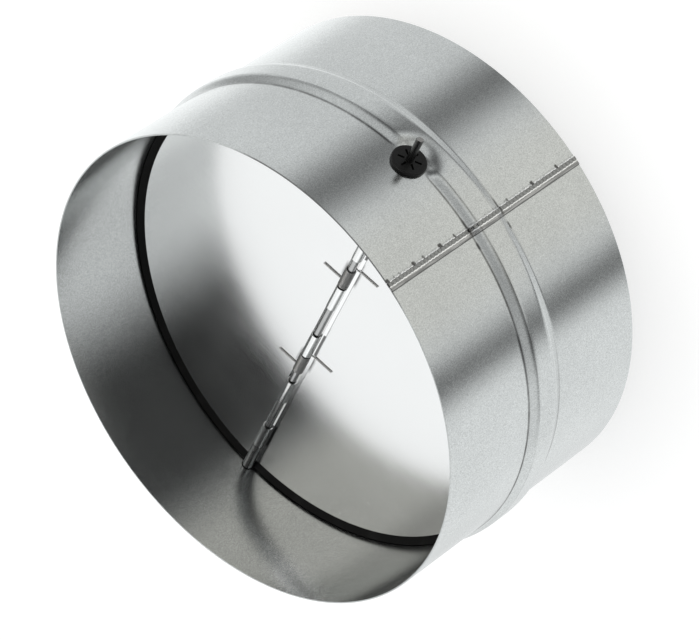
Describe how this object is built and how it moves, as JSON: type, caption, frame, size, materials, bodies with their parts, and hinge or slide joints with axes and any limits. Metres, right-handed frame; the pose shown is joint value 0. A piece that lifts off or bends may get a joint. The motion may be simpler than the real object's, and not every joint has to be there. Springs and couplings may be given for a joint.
{
  "type": "duct backdraft damper",
  "caption": "Round galvanised duct damper with sprung half-disc blades on a shared hinge pin; air pushes them open one way and they close against a rubber seal.",
  "frame": {"origin": "centre of the inlet rim, on the duct axis", "axes": "+Z the way the air flows, +X along the hinge pin towards the end nearer the welded seam, +Y across the blades"},
  "size_m": [0.2258, 0.203, 0.11],
  "materials": {
    "galvanised_sheet": "dull galvanised sheet",
    "seal_rubber": "matte black",
    "pin_steel": "bright drawn rod",
    "bush_plastic": "moulded black",
    "blade_sheet": "bright rolled sheet",
    "spring_steel": "bright spring wire"
  },
  "bodies": {
    "casing": {"casing": "galvanised_sheet", "seal_ring": "seal_rubber", "hinge_pin": "pin_steel", "upper_bush": "bush_plastic", "lower_bush": "bush_plastic", "upper_spacer": "pin_steel", "lower_spacer": "pin_steel", "upper_spring": "spring_steel", "lower_spring": "spring_steel"},
    "left_blade": {"left_blade": "blade_sheet"},
    "right_blade": {"right_blade": "blade_sheet"}
  },
  "joints": [
    {"name": "left_blade_hinge", "type": "hinge", "parent": "casing", "child": "left_blade", "pos_m": [0, 0, 0.065], "axis": [1, 0, 0], "range_deg": [0, 85], "stiffness_Nm_per_rad": 0.004, "springref_deg": -34.38, "deforming": ["upper_spring", "lower_spring"]},
    {"name": "right_blade_hinge", "type": "hinge", "parent": "casing", "child": "right_blade", "pos_m": [0, 0, 0.065], "axis": [-1, 0, 0], "range_deg": [0, 85], "stiffness_Nm_per_rad": 0.004, "springref_deg": -34.38, "deforming": ["upper_spring", "lower_spring"]}
  ]
}
